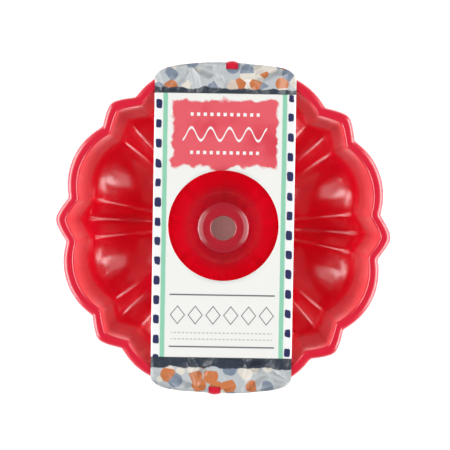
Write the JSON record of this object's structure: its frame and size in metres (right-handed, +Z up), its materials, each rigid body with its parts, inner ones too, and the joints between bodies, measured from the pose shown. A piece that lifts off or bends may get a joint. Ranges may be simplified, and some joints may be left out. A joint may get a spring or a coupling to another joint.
{
  "type": "fluted ring cake pan",
  "caption": "Formed aluminium ring cake pan with wide lobes, narrow V flutes, a pierced tube and a rolled rim flange, in a printed card sleeve that slides off.",
  "frame": {"origin": "middle of the footprint, on the surface that the sleeve's underside rests on", "axes": "+Z up out of the pan's mouth, Y along the sleeve, +X the way the sleeve slides off"},
  "size_m": [0.2646, 0.2646, 0.0868],
  "materials": {
    "red_coat": "glossy red coat on formed aluminium sheet",
    "printed_card": "smooth coated card, printed on the outside",
    "glue": "dried glue film"
  },
  "bodies": {
    "pan": {"pan_shell": "red_coat"},
    "sleeve": {"sleeve_front": "printed_card", "sleeve_head_wrap": "printed_card", "sleeve_tail_wrap": "printed_card", "sleeve_back": "printed_card", "sleeve_lap": "printed_card", "sleeve_glue": "glue"}
  },
  "joints": [
    {"name": "sleeve_slide", "type": "slide", "parent": "pan", "child": "sleeve", "axis": [1, 0, 0], "range_m": [0, 0.2], "deforming": ["sleeve_head_wrap", "sleeve_tail_wrap"]}
  ]
}
